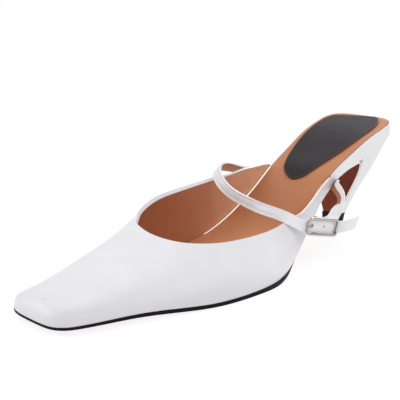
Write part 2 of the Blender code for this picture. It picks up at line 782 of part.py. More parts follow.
def make_buckle(nickel):
    half_long = (BUCKLE_LENGTH - FRAME_BAR) / 2
    half_high = (BUCKLE_HEIGHT - FRAME_BAR) / 2
    corner = BUCKLE_CORNER - FRAME_BAR / 2
    path = []
    for quarter, (along, across) in enumerate(((1, 1), (-1, 1), (-1, -1), (1, -1))):
        for i in range(5):
            turn = math.pi / 2 * (quarter + i / 4)
            path.append(
                at_buckle(
                    along * (half_long - corner) + corner * math.cos(turn),
                    across * (half_high - corner) + corner * math.sin(turn),
                    0.0,
                )
            )
    frame = finish("buckle_frame", tube(path, FRAME_BAR / 2 * 1.06, 8, closed=True), nickel)
    posts = []
    for across, outward in ((1, 0.0), (1, -1.5), (1, -3.2), (0.96, -4.0), (0.84, -4.4), (0.0, -4.4)):
        posts.append((across * half_high, outward))
    posts += [(-across, outward) for across, outward in posts[-2::-1]]
    bar = [at_buckle(CENTRE_BAR_ALONG, across, outward) for across, outward in posts]
    centre_bar = finish("centre_bar_piece", tube(bar, CENTRE_BAR_RADIUS, 8), nickel)
    modifier = frame.modifiers.new("centre_bar", "BOOLEAN")
    modifier.operation = "UNION"
    modifier.solver = "EXACT"
    modifier.object = centre_bar
    centre_bar.hide_render = True
    centre_bar.display_type = "WIRE"
    return frame


def make_prong(nickel):
    """The pin: it hooks round the centre bar, comes through the strap and rests on the frame."""
    radius = CENTRE_BAR_RADIUS + GAP + PRONG_RADIUS
    path = []
    for degrees in (20, -20, -60, -100, -140, -175):
        turn = math.radians(degrees)
        along = CENTRE_BAR_ALONG + radius * math.cos(turn)
        path.append((along, -CENTRE_BAR_BEHIND + radius * math.sin(turn)))
    path += [(-5.0, -3.1), (-5.6, -1.75), (-6.2, 0.1), (-6.9, 1.3), (-7.8, 1.65), (-9.4, 1.65)]
    points = [at_buckle(along, 0.0, outward) for along, outward in path]
    return finish("buckle_prong", tube(points, PRONG_RADIUS, 8), nickel)


def stand_on_origin():
    """Centres the whole on the floor's origin."""
    solids = [item for item in bpy.data.objects if item.type == "MESH"]
    shown = [item for item in solids if not item.hide_render]
    corners = [vertex.co for item in shown for vertex in item.data.vertices]
    low = [min(corner[i] for corner in corners) for i in range(3)]
    high = [max(corner[i] for corner in corners) for i in range(3)]
    shift = Vector(((low[0] + high[0]) / 2, (low[1] + high[1]) / 2, low[2]))
    print("shift in mm", [round(value / MM, 3) for value in shift])
    for item in solids:
        item.data.transform(Matrix.Translation(-shift))


def main():
    for old in list(bpy.data.objects):
        bpy.data.objects.remove(old, do_unlink=True)
    white = material("white_leather", (0.84, 0.84, 0.86), 0.42)
    tan = material("tan_leather", (0.45, 0.20, 0.10), 0.55)
    charcoal = material("charcoal_leather", (0.045, 0.04, 0.045), 0.5)
    brown = material("brown_sole_leather", (0.13, 0.025, 0.006), 0.5)
    black = material("black_rubber", (0.012, 0.01, 0.014), 0.45)
    nickel = material("nickel", (0.72, 0.66, 0.66), 0.2, 1.0)
    make_upper(white)
    make_outsole(brown)
    make_footbed(white)
    make_insole(tan)
    make_heel_pad(charcoal)
    make_heel(white)
    make_top_lift(black)
    make_instep_strap(white)
    make_buckle_strap(white)
    make_buckle(nickel)
    make_prong(nickel)
    stand_on_origin()


main()
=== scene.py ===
# %% [markdown]
# # A square-toed mule pump in white leather
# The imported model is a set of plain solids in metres: the upper, the footbed, the heel, the straps and
# the buckle. They could be shown as they are, but real shoe parts have rolled edges, painted cuts, a
# lining of another colour and a grain. So this script keeps every solid's place and dresses it.
#
# The toe points along -Y, the wearer's outer side is +X, and the floor is at zero height.

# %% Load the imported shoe
import math

import bmesh
import bpy
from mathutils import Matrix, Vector


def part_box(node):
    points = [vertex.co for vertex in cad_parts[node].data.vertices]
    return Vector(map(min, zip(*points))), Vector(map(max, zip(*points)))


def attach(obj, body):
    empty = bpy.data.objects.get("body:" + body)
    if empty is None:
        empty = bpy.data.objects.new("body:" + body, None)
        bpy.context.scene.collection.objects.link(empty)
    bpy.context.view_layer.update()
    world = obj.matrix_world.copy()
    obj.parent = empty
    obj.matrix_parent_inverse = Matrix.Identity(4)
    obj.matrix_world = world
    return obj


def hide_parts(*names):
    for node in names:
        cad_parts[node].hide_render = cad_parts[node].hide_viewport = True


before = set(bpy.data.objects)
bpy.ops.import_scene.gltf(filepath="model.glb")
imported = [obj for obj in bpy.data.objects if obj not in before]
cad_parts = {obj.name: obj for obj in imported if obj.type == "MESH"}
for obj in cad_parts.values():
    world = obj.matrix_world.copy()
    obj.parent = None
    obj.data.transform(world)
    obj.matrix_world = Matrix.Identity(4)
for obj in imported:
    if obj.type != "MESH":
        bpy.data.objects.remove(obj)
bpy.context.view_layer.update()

MM = 0.001
print("solids", sorted(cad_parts))

# %% [markdown]
# ## Camera
# The shoe is seen from its outer side and a little above. A short lens close by would let the toe grow,
# so a long lens stands about half a metre away and keeps the shoe's true proportions.

# %% Camera
target = Vector((-0.02516, 0.00036, 0.03025))
azimuth, elevation, distance = math.radians(41.79), math.radians(14.0), 0.56089
away = Vector((
    math.sin(azimuth) * math.cos(elevation),
    -math.cos(azimuth) * math.cos(elevation),
    math.sin(elevation),
))
lens = bpy.data.cameras.new("camera")
lens.lens = 99.17
lens.sensor_width = 36.0
lens.clip_start = 0.01
camera = bpy.data.objects.new("camera", lens)
camera.location = target + away * distance
camera.rotation_euler = (-away).to_track_quat("-Z", "Y").to_euler()
bpy.context.scene.collection.objects.link(camera)
bpy.context.scene.camera = camera
print("camera at", [round(value, 3) for value in camera.location])

# %% [markdown]
# ## Light
# White leather shows its form only through slow changes of tone, and one hard lamp would burn them
# away. So the light is that of a white studio: a bright surround, and four large soft panels that stand
# above, beyond the toe, at the outer side and behind.

# %% Lights
SURROUND = (0.97, 0.98, 1.0, 1.0)
SURROUND_STRENGTH = 0.55
PANELS = (
    # name, place in metres, side in metres, power in watts
    ("overhead_panel", (-0.2, -0.3, 1.5), 1.2, 1.5),
    ("toe_panel", (-1.0, -0.9, 0.8), 1.0, 9.0),
    ("side_panel", (1.3, -0.1, 0.9), 1.0, 6.4),
    ("rear_panel", (-0.4, 1.2, 1.0), 1.0, 8.2),
)
for name, place, size, power in PANELS:
    light = bpy.data.lights.new(name, "AREA")
    light.size = size
    light.energy = power
    made = bpy.data.objects.new(name, light)
    made.location = place
    made.rotation_euler = (target - Vector(place)).to_track_quat("-Z", "Y").to_euler()
    bpy.context.scene.collection.objects.link(made)

world = bpy.data.worlds.new("studio")
world.use_nodes = True
surround = world.node_tree.nodes["Background"]
surround.inputs["Color"].default_value = SURROUND
surround.inputs["Strength"].default_value = SURROUND_STRENGTH
bpy.context.scene.world = world
bpy.context.scene.view_settings.view_transform = "Standard"
print("lights", [item.name for item in bpy.data.lights])

# %% [markdown]
# ## Writing a finish as an expression
# A material is a network of nodes. Placing them one by one hides the idea, so a small class lets one
# socket add and multiply like a number, and one method makes any other node from its settings and the
# values of its sockets.

# %% Signals
class Signal:
    """One output of a material's node. Arithmetic on it adds Math nodes."""

    def __init__(self, finish, socket):
        self.finish = finish
        self.socket = socket

    def math(self, operation, other):
        return self.finish.node("ShaderNodeMath", {"operation": operation}, {0: self, 1: other}, "Value")

    def __add__(self, other):
        return self.math("ADD", other)

    def __mul__(self, other):
        return self.math("MULTIPLY", other)

    __radd__ = __add__

    def step(self, start, end):
        """0 below start, 1 above end, and a soft slope between. The ends may be swapped."""
        settings = {"interpolation_type": "SMOOTHSTEP"}
        values = {"Value": self, "From Min": start, "From Max": end, "To Min": 0.0, "To Max": 1.0}
        if start > end:
            values.update({"From Min": end, "From Max": start, "To Min": 1.0, "To Max": 0.0})
        return self.finish.node("ShaderNodeMapRange", settings, values, "Result")


print("signal: + * and step")

# %% [markdown]
# ## One class for every finish
# Leather, paint, rubber and metal differ in their numbers and not in their make-up: a colour, a
# roughness and a fine relief, all driven by noise that is fixed to the shoe. A picture wrapped round
# each piece would need seams and would blur up close, so the noise is measured in the shoe's own
# millimetres instead.

# %% Finishes
class Finish:
    """A material that is built up from signals and ends in one Principled shader."""

    def __init__(self, name, **constants):
        self.material = bpy.data.materials.new(name)
        self.material.use_nodes = True
        self.tree = self.material.node_tree
        self.shader = self.tree.nodes["Principled BSDF"]
        for socket, value in constants.items():
            self.shader.inputs[socket.replace("_", " ")].default_value = value
        self.place = self.node("ShaderNodeTexCoord", {}, {}, "Object")

    def node(self, kind, settings, values, output=None):
        """Any node, from its settings and its inputs. Gives one of its outputs, or the node itself."""
        made = self.tree.nodes.new(kind)
        for name, value in settings.items():
            setattr(made, name, value)
        for name, value in values.items():
            if isinstance(value, Signal):
                self.tree.links.new(value.socket, made.inputs[name])
            else:
                made.inputs[name].default_value = value
        return made if output is None else Signal(self, made.outputs[output])

    def noise(self, size, detail=3.0, roughness=0.5):
        """Cloudy noise, from 0 to 1, with blotches of this size in millimetres."""
        values = {"Vector": self.place, "Scale": 1 / (size * MM), "Detail": detail, "Roughness": roughness}
        return self.node("ShaderNodeTexNoise", {}, values, "Fac")

    def pores(self, size):
        """Distance to the nearest of many scattered points, a cell being this many millimetres."""
        values = {"Vector": self.place, "Scale": 1 / (size * MM), "Randomness": 0.9}
        return self.node("ShaderNodeTexVoronoi", {"feature": "F1"}, values, "Distance")

    def axis(self, name):
        """The position along one axis, in millimetres."""
        parts = self.node("ShaderNodeSeparateXYZ", {}, {"Vector": self.place})
        return Signal(self, parts.outputs[name]) * (1 / MM)

    def near(self, point, full, none):
        """1 within the full distance of a point, 0 beyond the other one, all in metres."""
        values = {0: self.place, 1: point}
        apart = self.node("ShaderNodeVectorMath", {"operation": "DISTANCE"}, values, "Value")
        return apart.step(none, full)

    def mix(self, factor, first, second):
        """A colour between two colours."""
        first, second = (value if isinstance(value, Signal) else (*value, 1.0) for value in (first, second))
        made = self.node("ShaderNodeMix", {"data_type": "RGBA"}, {0: factor, 6: first, 7: second})
        return Signal(self, made.outputs[2])

    def bump(self, height, depth, under=None):
        """A relief whose full height is this many millimetres, on top of a coarser one."""
        values = {"Height": height, "Strength": 1.0, "Distance": depth * MM}
        if under is not None:
            values["Normal"] = under
        return self.node("ShaderNodeBump", {}, values, "Normal")

    def wear(self, **signals):
        """Links the signals to the shader and gives the material."""
        for socket, value in signals.items():
            self.tree.links.new(value.socket, self.shader.inputs[socket.replace("_", " ")])
        return self.material


print("finish: noise, pores, axis, near, mix, bump and wear")

# %% [markdown]
# ## White calf leather
# The leather is smooth, lightly coated calf. Up close it has fine pores and hairline wrinkles, across
# a panel it is a little uneven where it was pulled over the last, and it carries small grey scuffs
# where it rubs. Pores are cells of noise, and the pull is a very broad low relief. Shade is painted
# into the colour as well: grey low down towards the toe, and at the waist, where it turns under.

# %% White leather
CALF_LIGHT, CALF_DARK = (0.83, 0.825, 0.845), (0.805, 0.80, 0.825)
CALF_SHADE_GREY = (0.60, 0.585, 0.61)
SCUFF_GREY = (0.60, 0.59, 0.60)
MARK_BROWN = (0.40, 0.38, 0.37)
TOE_MARK = (-0.0067, -0.1194, 0.0124)


def white_leather(name, tone, waist_shade_strength=0.0):
    """White calf, its colour scaled by the tone. The last argument sets how much painted shade greys the
    waist.
    """
    leather = Finish(name, Specular_IOR_Level=0.5, Coat_Roughness=0.35, Sheen_Weight=0.05)
    pores = leather.pores(0.75)
    hairlines = leather.noise(1.1, 5.0, roughness=0.7)
    pull = leather.noise(24.0, 2.0)
    blotch = leather.noise(9.0, 4.0)
    dark, light = ([level * tone for level in shade] for shade in (CALF_DARK, CALF_LIGHT))
    clean = leather.mix(blotch.step(0.3, 0.75), dark, light)
    scuffs = (leather.noise(3.2, 6.0, roughness=0.75) * leather.noise(30.0, 1.0)).step(0.42, 0.54)
    colour = leather.mix(scuffs * 0.12, clean, SCUFF_GREY)
    mark = leather.near(TOE_MARK, 0.0004, 0.0016) * leather.noise(0.8, 3.0).step(0.4, 0.55)
    colour = leather.mix(mark * 0.35, colour, MARK_BROWN)
    across, back, up = (leather.axis(name) for name in "XYZ")
    # Painted shade: grey low on the walls towards the toe, where the sides turn away from the light.
    low_shade_mask = up.step(17.0, 1.0) * back.step(20.0, -50.0)
    colour = leather.mix(low_shade_mask * 0.8, colour, CALF_SHADE_GREY)
    # Painted shade: grey at the waist on the outer side, under the strap, where the leather turns under.
    waist_shade_mask = across.step(4.0, 14.0) * back.step(-14.0, 16.0) * up.step(2.0, 14.0)
    colour = leather.mix(waist_shade_mask * waist_shade_strength, colour, CALF_SHADE_GREY)
    relief = leather.bump(pull, 0.10)
    relief = leather.bump(hairlines * 0.6 + pores * 0.5, 0.02, relief)
    rough = 0.42 + hairlines * 0.08 + scuffs * 0.10
    return leather.wear(Base_Color=colour, Roughness=rough, Coat_Weight=0.05 + pull * 0.08, Normal=relief)


WHITE = white_leather("white_calf", 1.0, 0.6)
STRAP_WHITE = white_leather("strap_calf", 0.97)
WRAP_WHITE = white_leather("wrap_calf", 0.95)
HEEL_WHITE = white_leather("heel_calf", 0.89)
print("white leathers for the upper, the straps, the footbed and the heel")

# %% [markdown]
# ## Tan lining and sock
# Everything that touches the foot is tan leather with a dry, matt face. One even brown would look like
# card. Its colour wanders from honey to brown instead: the lining is painted darker deep in the toe, as
# the shade that falls there, and the sock is worn darker towards the seat.

# %% Tan leather
TAN_CLOUD, TAN_FIBRE = (0.57, 0.25, 0.125), (0.43, 0.165, 0.07)


def tan_leather(name, deep, open_to_light, reach):
    """Tan leather, from its colour deep in the toe to its colour at the back, over this reach in mm."""
    leather = Finish(name, Specular_IOR_Level=0.3, Sheen_Weight=0.05, Sheen_Roughness=0.5)
    pores = leather.pores(0.6)
    fibres = leather.noise(0.9, 6.0, roughness=0.7)
    cloud = leather.noise(14.0, 4.0)
    colour = leather.mix(leather.axis("Y").step(*reach), deep, open_to_light)
    colour = leather.mix(cloud.step(0.3, 0.8) * 0.35, colour, TAN_CLOUD)
    colour = leather.mix(fibres.step(0.35, 0.8) * 0.3, colour, TAN_FIBRE)
    relief = leather.bump(cloud, 0.15)
    relief = leather.bump(pores * 0.6 + fibres * 0.6, 0.03, relief)
    return leather.wear(Base_Color=colour, Roughness=0.52 + fibres * 0.16, Normal=relief)


# The lining's darker tan deep in the toe is painted shade.
LINING = tan_leather("tan_lining", (0.43, 0.16, 0.078), (0.78, 0.42, 0.27), (-12.0, 42.0))
SOCK = tan_leather("tan_sock", (0.78, 0.36, 0.17), (0.53, 0.21, 0.095), (8.0, 38.0))
# The straps' lining is a darker tan than the shoe's lining: painted shade for the straps' insides.
STRAP_LINING = tan_leather("strap_lining", (0.35, 0.135, 0.068), (0.35, 0.135, 0.068), (0.0, 50.0))
print("tan leathers for the lining, the sock and the straps")

# %% [markdown]
# ## Cut and painted edges
# Where a panel is cut, its edge is sealed with pale paint that sinks into the fibres. It reads as a
# thin warm line between the white face and the tan lining. A folded edge is the same leather turned
# over, so tightly that it catches a gleam from every side. A very thin round bead would need far more
# faces to do that, so the gleam is a painted highlight: the finish glows, a little on cut edges
# and more on folds.

# %% Edge paint
HIGHLIGHT_GLOW = (1.0, 0.90, 0.83, 1.0)


def edge_paint(name, glow):
    """Cream paint, with a glow that paints the highlight of a tight fold."""
    paint = Finish(name, Specular_IOR_Level=0.4, Emission_Color=HIGHLIGHT_GLOW, Emission_Strength=glow)
    fibres = paint.noise(0.5, 5.0, roughness=0.7)
    blotch = paint.noise(6.0, 3.0)
    colour = paint.mix(fibres.step(0.3, 0.8), (0.95, 0.87, 0.81), (0.88, 0.77, 0.70))
    colour = paint.mix(blotch.step(0.45, 0.8) * 0.4, colour, (0.96, 0.91, 0.87))
    return paint.wear(Base_Color=colour, Roughness=0.5 + fibres * 0.2, Normal=paint.bump(fibres, 0.04))


# Both glow as a painted highlight: faintly on cut edges, strongly on folds.
EDGE = edge_paint("cream_edge", 0.04)
FOLD = edge_paint("cream_fold", 0.65)
print("edge paint for cuts and folds")

# %% [markdown]
# ## Heel pad and its binding
# The pad is charcoal leather, skived thin, with a dark red-brown binding. It is nearly black, so it
# shows mainly by its sheen. A pure black would lose its pores, so its colour stays just above that.

# %% Charcoal leather and binding
def charcoal_leather():
    leather = Finish("charcoal_pad", Specular_IOR_Level=0.16)
    pores = leather.pores(0.55)
    fibres = leather.noise(0.8, 6.0, roughness=0.7)
    cloud = leather.noise(10.0, 3.0)
    colour = leather.mix(cloud.step(0.3, 0.75), (0.030, 0.026, 0.028), (0.046, 0.040, 0.043))
    colour = leather.mix(pores.step(0.0, 0.35) * 0.5, (0.022, 0.019, 0.021), colour)
    relief = leather.bump(pores + fibres * 0.5, 0.05)
    return leather.wear(Base_Color=colour, Roughness=0.48 + fibres * 0.2, Normal=relief)


def binding():
    leather = Finish("pad_binding", Specular_IOR_Level=0.4)
    fibres = leather.noise(0.7, 5.0)
    colour = leather.mix(fibres, (0.035, 0.012, 0.010), (0.10, 0.032, 0.022))
    return leather.wear(Base_Color=colour, Roughness=0.5 + fibres * 0.2, Normal=leather.bump(fibres, 0.05))


CHARCOAL, BINDING = charcoal_leather(), binding()
print("charcoal leather and its binding")

# %% [markdown]
# ## Sole leather, black edge and rubber
# The sole is red-brown leather with long soft streaks, and its edge is inked black. The ink has sunk
# in unevenly, so it isn't one flat tone. The top lift under the heel is black rubber with a fine
# moulded grain and a little dust.

# %% Sole leather, ink and rubber
def sole_leather():
    leather = Finish("sole_leather", Specular_IOR_Level=0.15, Coat_Roughness=0.4)
    streaks = leather.noise(2.2, 5.0)
    cloud = leather.noise(18.0, 3.0)
    colour = leather.mix(cloud.step(0.25, 0.8), (0.15, 0.020, 0.004), (0.24, 0.038, 0.008))
    colour = leather.mix(streaks.step(0.4, 0.8) * 0.5, colour, (0.11, 0.018, 0.005))
    coat, relief = 0.04 + cloud * 0.1, leather.bump(streaks, 0.05)
    return leather.wear(Base_Color=colour, Roughness=0.36 + streaks * 0.2, Coat_Weight=coat, Normal=relief)


def black_edge():
    ink = Finish("black_sole_edge", Specular_IOR_Level=0.1)
    fibres = ink.noise(0.6, 5.0)
    wear = ink.noise(7.0, 5.0).step(0.55, 0.8)
    colour = ink.mix(wear, (0.005, 0.0045, 0.008), (0.016, 0.013, 0.018))
    return ink.wear(Base_Color=colour, Roughness=0.36 + fibres * 0.25, Normal=ink.bump(fibres, 0.04))


def black_rubber():
    rubber = Finish("black_rubber_lift", Specular_IOR_Level=0.12)
    grain = rubber.noise(0.35, 3.0)
    dust = rubber.noise(4.0, 5.0).step(0.5, 0.8)
    colour = rubber.mix(dust * 0.7, (0.007, 0.006, 0.006), (0.018, 0.015, 0.015))
    return rubber.wear(Base_Color=colour, Roughness=0.5 + grain * 0.2, Normal=rubber.bump(grain, 0.05))


SOLE, BLACK_EDGE, RUBBER = sole_leather(), black_edge(), black_rubber()
print("sole leather, black ink and rubber")

# %% [markdown]
# ## Nickel
# The buckle is cast, tumbled and plated. A mirror would be simpler, but such a buckle is softened by
# fine tumbling marks and by hairline scratches, with a faint warm tint. The faces inside its frame
# are painted darker nickel, as the shade that falls inside it.

# %% Nickel plate
def nickel_plate(name, light, dull):
    nickel = Finish(name, Metallic=1.0)
    tumbling = nickel.noise(0.8, 4.0)
    scratches = nickel.noise(0.25, 6.0, roughness=0.8)
    tarnish = nickel.noise(3.0, 4.0).step(0.45, 0.8)
    colour = nickel.mix(tarnish * 0.5, light, dull)
    rough = 0.14 + scratches.step(0.45, 0.8) * 0.18 + tarnish * 0.08
    relief = nickel.bump(scratches, 0.006, nickel.bump(tumbling, 0.02))
    return nickel.wear(Base_Color=colour, Roughness=rough, Normal=relief)


NICKEL = nickel_plate("polished_nickel", (0.55, 0.49, 0.485), (0.38, 0.34, 0.335))
# The darker nickel is painted shade for the faces inside the frame.
SHADED_NICKEL = nickel_plate("nickel_painted_shade", (0.16, 0.14, 0.14), (0.09, 0.08, 0.08))
print("finishes", [item.name for item in bpy.data.materials if item.users])

# %% [markdown]
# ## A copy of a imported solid
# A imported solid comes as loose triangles, and smoothing loose triangles tears them apart. So a copy is
# merged first, and its triangles are paired into quads, which smooth evenly. Every copy starts with
# one finish, and its faces are given others by what they are on the shoe.

# %% Copy a solid
MERGE_WITHIN = 1e-6
PAIR_FACES, PAIR_SHAPES = math.radians(40), math.radians(70)


def copy_of(node):
    """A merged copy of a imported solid, in quads where its triangles allow it."""
    body = bmesh.new()
    body.from_mesh(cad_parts[node].data)
    bmesh.ops.remove_doubles(body, verts=body.verts, dist=MERGE_WITHIN)
    bmesh.ops.join_triangles(
        body, faces=body.faces, angle_face_threshold=PAIR_FACES, angle_shape_threshold=PAIR_SHAPES
    )
    paint(body.faces, 0)
    body.normal_update()
    return body


def paint(faces, index):
    """Gives the faces one of their piece's finishes."""
    for face in faces:
        face.material_index = index


def points_of(faces):
    return {vertex for face in faces for vertex in face.verts}


def along(face):
    """How far back a face lies, in metres."""
    return sum(vertex.co.y for vertex in face.verts) / len(face.verts)


print("copying a solid: copy_of, paint, points_of, along")

# %% [markdown]
# ## Telling its panels apart
# A shoemaker tells the panels apart by the edges between them, and so does this: faces that are joined
# without a sharp edge make one patch. A list of face numbers would break with any change of shape.

# %% Patches
SHARP = 50


def sharp_edges(body, degrees=SHARP):
    """The edges where two faces meet at more than this angle."""
    limit = math.radians(degrees)
    return [edge for edge in body.edges if len(edge.link_faces) == 2 and edge.calc_face_angle() > limit]


def patches(body):
    """Groups of faces that are joined without a sharp edge between them, largest area first."""
    sharp = set(sharp_edges(body))
    left = set(body.faces)
    groups = []
    while left:
        group, front = [], [left.pop()]
        while front:
            face = front.pop()
            group.append(face)
            for edge in face.edges:
                if edge in sharp:
                    continue
                for other in edge.link_faces:
                    if other in left:
                        left.remove(other)
                        front.append(other)
        groups.append(group)
    return sorted(groups, key=lambda faces: -sum(face.calc_area() for face in faces))


print("reading a solid: sharp_edges, patches")

# %% [markdown]
# ## From a copy to a piece
# Leather turned over a board has round edges, and even a cut edge is rubbed soft. So the sharp edges
# are rolled with a narrow bevel and the whole is smoothed with a subdivision surface. Remeshing would
# lose the crisp lines between the panels. The piece then lies exactly where its solid lies.

# %% Move, roll, finish
def ramp(value, start, end):
    """0 at the start, 1 at the end, straight between them and held beyond."""
    return min(max((value - start) / (end - start), 0.0), 1.0)


def shift(body, points, across, back, up):
    """Moves some points by these many millimetres."""
    bmesh.ops.translate(body, verts=list(points), vec=(across * MM, back * MM, up * MM))


def roll(body, edges, radius):
    """Rounds the edges with this radius in millimetres."""
    return bmesh.ops.bevel(
        body, geom=edges, offset=radius * MM, offset_type="OFFSET", segments=2, profile=0.5,
        affect="EDGES", material=-1, clamp_overlap=True,
    )


def piece(name, body, finishes, nodes):
    """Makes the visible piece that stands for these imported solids."""
    mesh = bpy.data.meshes.new(name)
    body.to_mesh(mesh)
    body.free()
    for finish in finishes:
        mesh.materials.append(finish)
    mesh.shade_smooth()
    made = bpy.data.objects.new(name, mesh)
    bpy.context.scene.collection.objects.link(made)
    smooth = made.modifiers.new("smooth", "SUBSURF")
    smooth.levels = smooth.render_levels = 2
    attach(made, "root")
    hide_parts(*nodes)
    print(name, "faces", len(mesh.polygons))
    return made


print("making a piece: ramp, shift, roll, piece")

# %% [markdown]
# ## The upper's two faces
# The upper is one hollow wall of leather. Its two largest patches are the white outside, which looks
# up and outward, and the tan inside. What is left between them is the cut edge along the topline and
# at the rear, where the wall ends beside the waist.

# %% Upper: faces
WHITE_SIDE, TAN_SIDE, CUT = 0, 1, 2
END_DEPTH = 0.5 * MM
body = copy_of("upper")
rear = max(vertex.co.y for vertex in body.verts if vertex.co.x > 0)
groups = patches(body)
outer, inner = sorted(groups[:2], key=lambda faces: -sum(face.normal.z * face.calc_area() for face in faces))
for faces, side in ((body.faces, CUT), (outer, WHITE_SIDE), (inner, TAN_SIDE)):
    paint(faces, side)
at_end = [face for face in body.faces if face.normal.y > 0.9 and along(face) > rear - END_DEPTH]
paint(at_end, WHITE_SIDE)
print("outer side ends at", round(rear / MM, 2), "mm, patches", [len(group) for group in groups[:6]])

# %% [markdown]
# ## The upper's end on the outer side
# On the real shoe the white leather runs on over the footbed's lip, and the two blend without a step.
# One shared surface could do that, but the upper and the footbed stay apart as they are made. So the
# end is drawn back and up until it lies on the lip, its top a little higher than the rest.

# %% Upper: rear end
END_BACK, END_OUT = 6.0, 0.22
END_UP, END_UP_AT_TOP = 2.6, 3.3
TOP_DEPTH = 1.0 * MM
moved = {vertex for vertex in points_of(at_end) if vertex.co.x > 0}
top = max(vertex.co.z for vertex in moved)
for vertex in moved:
    up = END_UP_AT_TOP if vertex.co.z > top - TOP_DEPTH else END_UP
    vertex.co += Vector((END_OUT, END_BACK, up)) * MM
print("points drawn over the lip", len(moved))

# %% [markdown]
# ## The upper's topline
# On the inner side the white leather is folded over the topline, so the rim's outer corner stands up
# and no cut edge shows there. On the outer side the edge is cut and painted. The fold could be a
# separate bead, but it is the same leather, so the corner of the wall itself is raised. It is highest
# beside the throat and fades towards the outer side and the rear.

# %% Upper: folded rim
FOLD_UP, FOLD_IN = 1.05, -0.3
INNER_SIDE = (-4 * MM, -16 * MM)
BESIDE_THROAT, THROAT_SHARE = (24 * MM, 14 * MM), 0.75
BEFORE_REAR, REAR_SHARE = (53 * MM, 45 * MM), 0.25
FOLD_SHOWS = -10 * MM
skin = points_of(outer)
cut_rim = [face for face in body.faces if face.material_index == CUT and face.normal.z > 0.3]
corner = points_of(cut_rim) & skin
for vertex in corner:
    x, y = vertex.co.x, vertex.co.y
    height = REAR_SHARE * ramp(y, *BEFORE_REAR) + THROAT_SHARE * ramp(y, *BESIDE_THROAT)
    vertex.co += Vector((FOLD_IN, 0.0, FOLD_UP)) * MM * ramp(x, *INNER_SIDE) * height
folded = [face for face in cut_rim if face.calc_center_median().x < FOLD_SHOWS]
paint(folded, WHITE_SIDE)
kept_sharp = {edge for face in at_end for edge in face.edges}
roll(body, [edge for edge in sharp_edges(body) if edge not in kept_sharp], 0.3)
print("rim points", len(corner), "folded faces", len(folded))
piece("upper_leather", body, (WHITE, LINING, EDGE), ["upper"])

# %% [markdown]
# ## Footbed
# The footbed is a board wrapped in white leather with a low lip. Inside the upper its lip is covered
# with the same tan as the sock, and behind it the lip shows white. Where the upper ends on the outer
# side, the lip's step is moved out under it, so no tan shows between them. On the inner side the wrap
# is folded over the lip, and the fold grows from nothing inside the shoe. Its two sides are told apart
# before any point moves, so that no point is judged by a neighbour that has moved already.

# %% Footbed
COVERED_BEHIND = rear + 0.8 * MM
COVERED_INNER = 7 * MM
INNER_LIP = -20 * MM
LIP_STEP, LIP_STEP_OUT = 0.5 * MM, 1.75
INNER_RIM_IN, OUTER_RIM_IN, RIM_UP = 0.7, 0.3, 0.6
RIM_GROWS = (4 * MM, 20 * MM)
ABREAST, APART = 0.1 * MM, 0.4 * MM
body = copy_of("footbed")
lip_step = [v for v in body.verts if v.co.x > 0.0 and 0.0 < v.co.y - rear < LIP_STEP]
shift(body, lip_step, LIP_STEP_OUT, 0.0, 0.0)
for face in body.faces:
    middle = face.calc_center_median()
    if middle.y < (COVERED_BEHIND if middle.x > 0.0 else COVERED_INNER):
        face.material_index = TAN_SIDE
    elif middle.x < 0.0 and middle.y < rear and face.normal.z > 0.5:
        face.material_index = CUT
folded = [f for f in body.faces if f.material_index == CUT and f.calc_center_median().x < INNER_LIP]
rim = points_of(folded)
inner_rim = set()
for vertex in rim:
    for other in (edge.other_vert(vertex) for edge in vertex.link_edges):
        beside = abs(other.co.y - vertex.co.y) < ABREAST and vertex.co.x - other.co.x > APART
        if other in rim and beside:
            inner_rim.add(vertex)
for vertex in rim:
    move = Vector((INNER_RIM_IN if vertex in inner_rim else OUTER_RIM_IN, 0.0, RIM_UP))
    vertex.co += move * MM * ramp(vertex.co.y, *RIM_GROWS)
roll(body, sharp_edges(body), 0.15)
print("lip points moved out", len(lip_step), "folded faces", len(folded))
piece("footbed_wrap", body, (WRAP_WHITE, SOCK, FOLD), ["footbed"])

# %% [markdown]
# ## Sock lining
# A thin sheet of tan leather lies in the footbed, from the toe to the seat. It is glued flat and has
# no folds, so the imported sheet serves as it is. Its edge is moved out beside the upper's end, to meet
# the lip there.

# %% Insole
SOCK_STEP, SOCK_STEP_OUT = (0.7 * MM, 0.95 * MM), 2.1
body = copy_of("insole")
sock_step = [v for v in body.verts if v.co.x > 0.0 and SOCK_STEP[0] < v.co.y - rear < SOCK_STEP[1]]
shift(body, sock_step, SOCK_STEP_OUT, 0.0, 0.0)
roll(body, sharp_edges(body), 0.15)
print("sock points moved out", len(sock_step))
piece("insole_leather", body, (SOCK,), ["insole"])

# %% [markdown]
# ## Heel pad
# The charcoal pad is glued on the sock under the heel and bound with a narrow dark strip. Its edge is
# rolled and belongs to the strip. Smoothing would widen a narrow strip beside one large face, so two
# rings are set into the face: the first completes the strip, and the second holds the strip's width.

# %% Heel pad
PAD_FACE, PAD_RIM = 0, 1
RINGS = ((0.4, PAD_RIM), (0.7, PAD_FACE))
STRIP_WIDTH = 0.5 * MM
PAD_ROLL, UNDERSIDE_UP = 0.3, -0.2
body = copy_of("heel_pad")
pad_top = set(max(patches(body)[:2], key=lambda faces: sum(face.normal.z for face in faces)))
for face in body.faces:
    face.material_index = PAD_FACE if face in pad_top else PAD_RIM
underside = points_of(face for face in body.faces if face.normal.z < -0.7)
shift(body, underside, 0.0, 0.0, UNDERSIDE_UP)
turned = roll(body, [edge for edge in sharp_edges(body) if not set(edge.verts) <= underside], PAD_ROLL)
for face in turned["faces"]:
    if face.calc_area() < STRIP_WIDTH * max(edge.calc_length() for edge in face.edges):
        face.material_index = PAD_RIM
middle_faces = [face for face in body.faces if face.material_index == PAD_FACE]
for width, finish in RINGS:
    ring = bmesh.ops.inset_region(body, faces=middle_faces, thickness=width * MM, use_even_offset=True)
    paint(ring["faces"], finish)
print("pad's face", len(middle_faces), "rolled faces", len(turned["faces"]))
